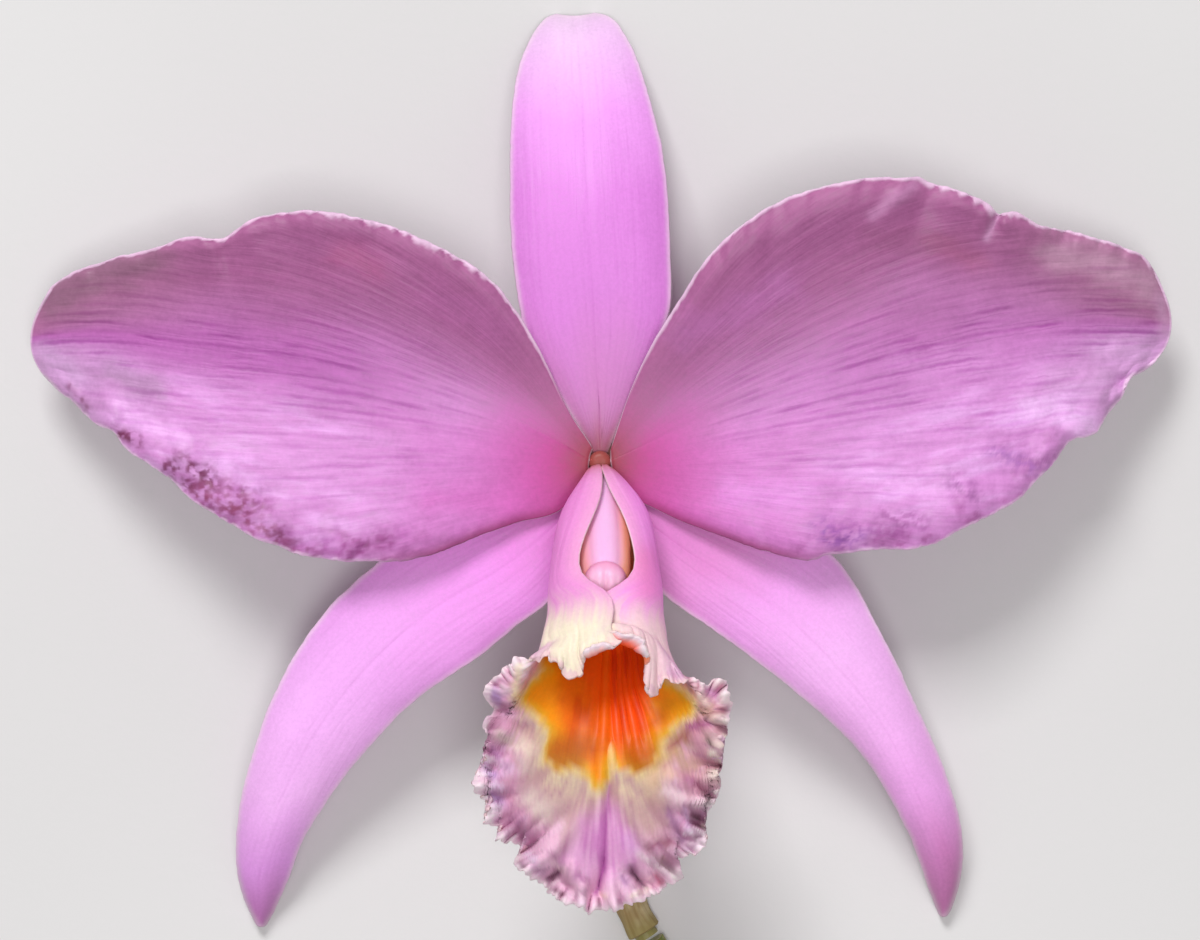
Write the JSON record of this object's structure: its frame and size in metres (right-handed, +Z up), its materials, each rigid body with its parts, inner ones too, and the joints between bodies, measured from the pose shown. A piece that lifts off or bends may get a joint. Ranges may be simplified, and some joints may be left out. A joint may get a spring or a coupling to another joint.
{
  "type": "cattleya orchid",
  "caption": "Cut cattleya orchid bloom lying face up: sepals behind broad petals, a frilled lip rolled round the column, and a bent ovary and stalk resting on the table.",
  "frame": {"origin": "middle of the flower's footprint on the surface it lies on", "axes": "+X from the left petal's tip to the right petal's tip as seen from above, +Y along the dorsal sepal, +Z up, out of the open flower"},
  "size_m": [0.1426, 0.128, 0.0436],
  "materials": {
    "sepal": "satin",
    "petal": "satin",
    "lip": "satin",
    "column": "satin",
    "anther_cap": "satin",
    "pollinia": "satin",
    "pedicel": "satin",
    "bract": "matte",
    "peduncle": "satin"
  },
  "bodies": {
    "root": {"dorsal_sepal": "sepal", "lateral_sepal_left": "sepal", "lateral_sepal_right": "sepal", "petal_left": "petal", "petal_right": "petal", "lip": "lip", "column": "column", "anther_cap": "anther_cap", "pollinarium": "pollinia", "ovary_pedicel": "pedicel", "floral_bract": "bract", "peduncle": "peduncle"}
  },
  "joints": []
}
